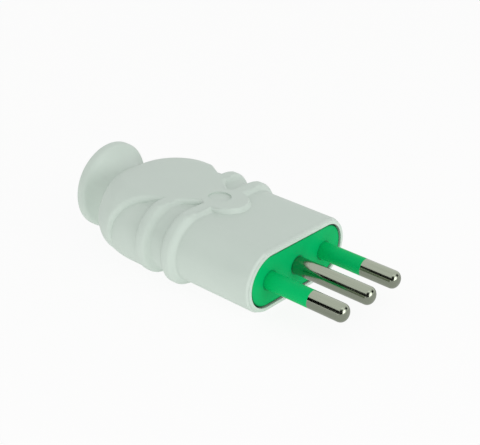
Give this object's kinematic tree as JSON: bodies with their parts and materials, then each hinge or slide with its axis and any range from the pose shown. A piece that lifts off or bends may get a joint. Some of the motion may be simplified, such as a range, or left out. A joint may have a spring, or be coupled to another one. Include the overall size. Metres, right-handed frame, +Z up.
{
  "type": "grounded plug",
  "caption": "In-line grounded plug with round pins in a row, insulated outer pins, a ribbed grip shell and a flared cord inlet.",
  "frame": {"origin": "on the earth pin's axis, in the plane of the shell's front rim", "axes": "+X along the pins, away from the shell; +Z up, the side with the flat deck; Y across the row of pins"},
  "size_m": [0.0763, 0.037, 0.021],
  "materials": {
    "shell_plastic": "moulded, satin",
    "carrier_plastic": "moulded, satin",
    "sleeve_plastic": "moulded, satin",
    "pin_metal": "nickel plated, bright",
    "screw_steel": "zinc plated"
  },
  "bodies": {
    "root": {"outer_shell": "shell_plastic", "pin_carrier": "carrier_plastic", "live_pin_sleeve": "sleeve_plastic", "neutral_pin_sleeve": "sleeve_plastic", "live_pin": "pin_metal", "neutral_pin": "pin_metal", "earth_pin": "pin_metal", "terminal_screws": "screw_steel", "clamp_screws": "screw_steel", "fixing_screw": "screw_steel", "cord_clamp": "carrier_plastic"}
  },
  "joints": []
}
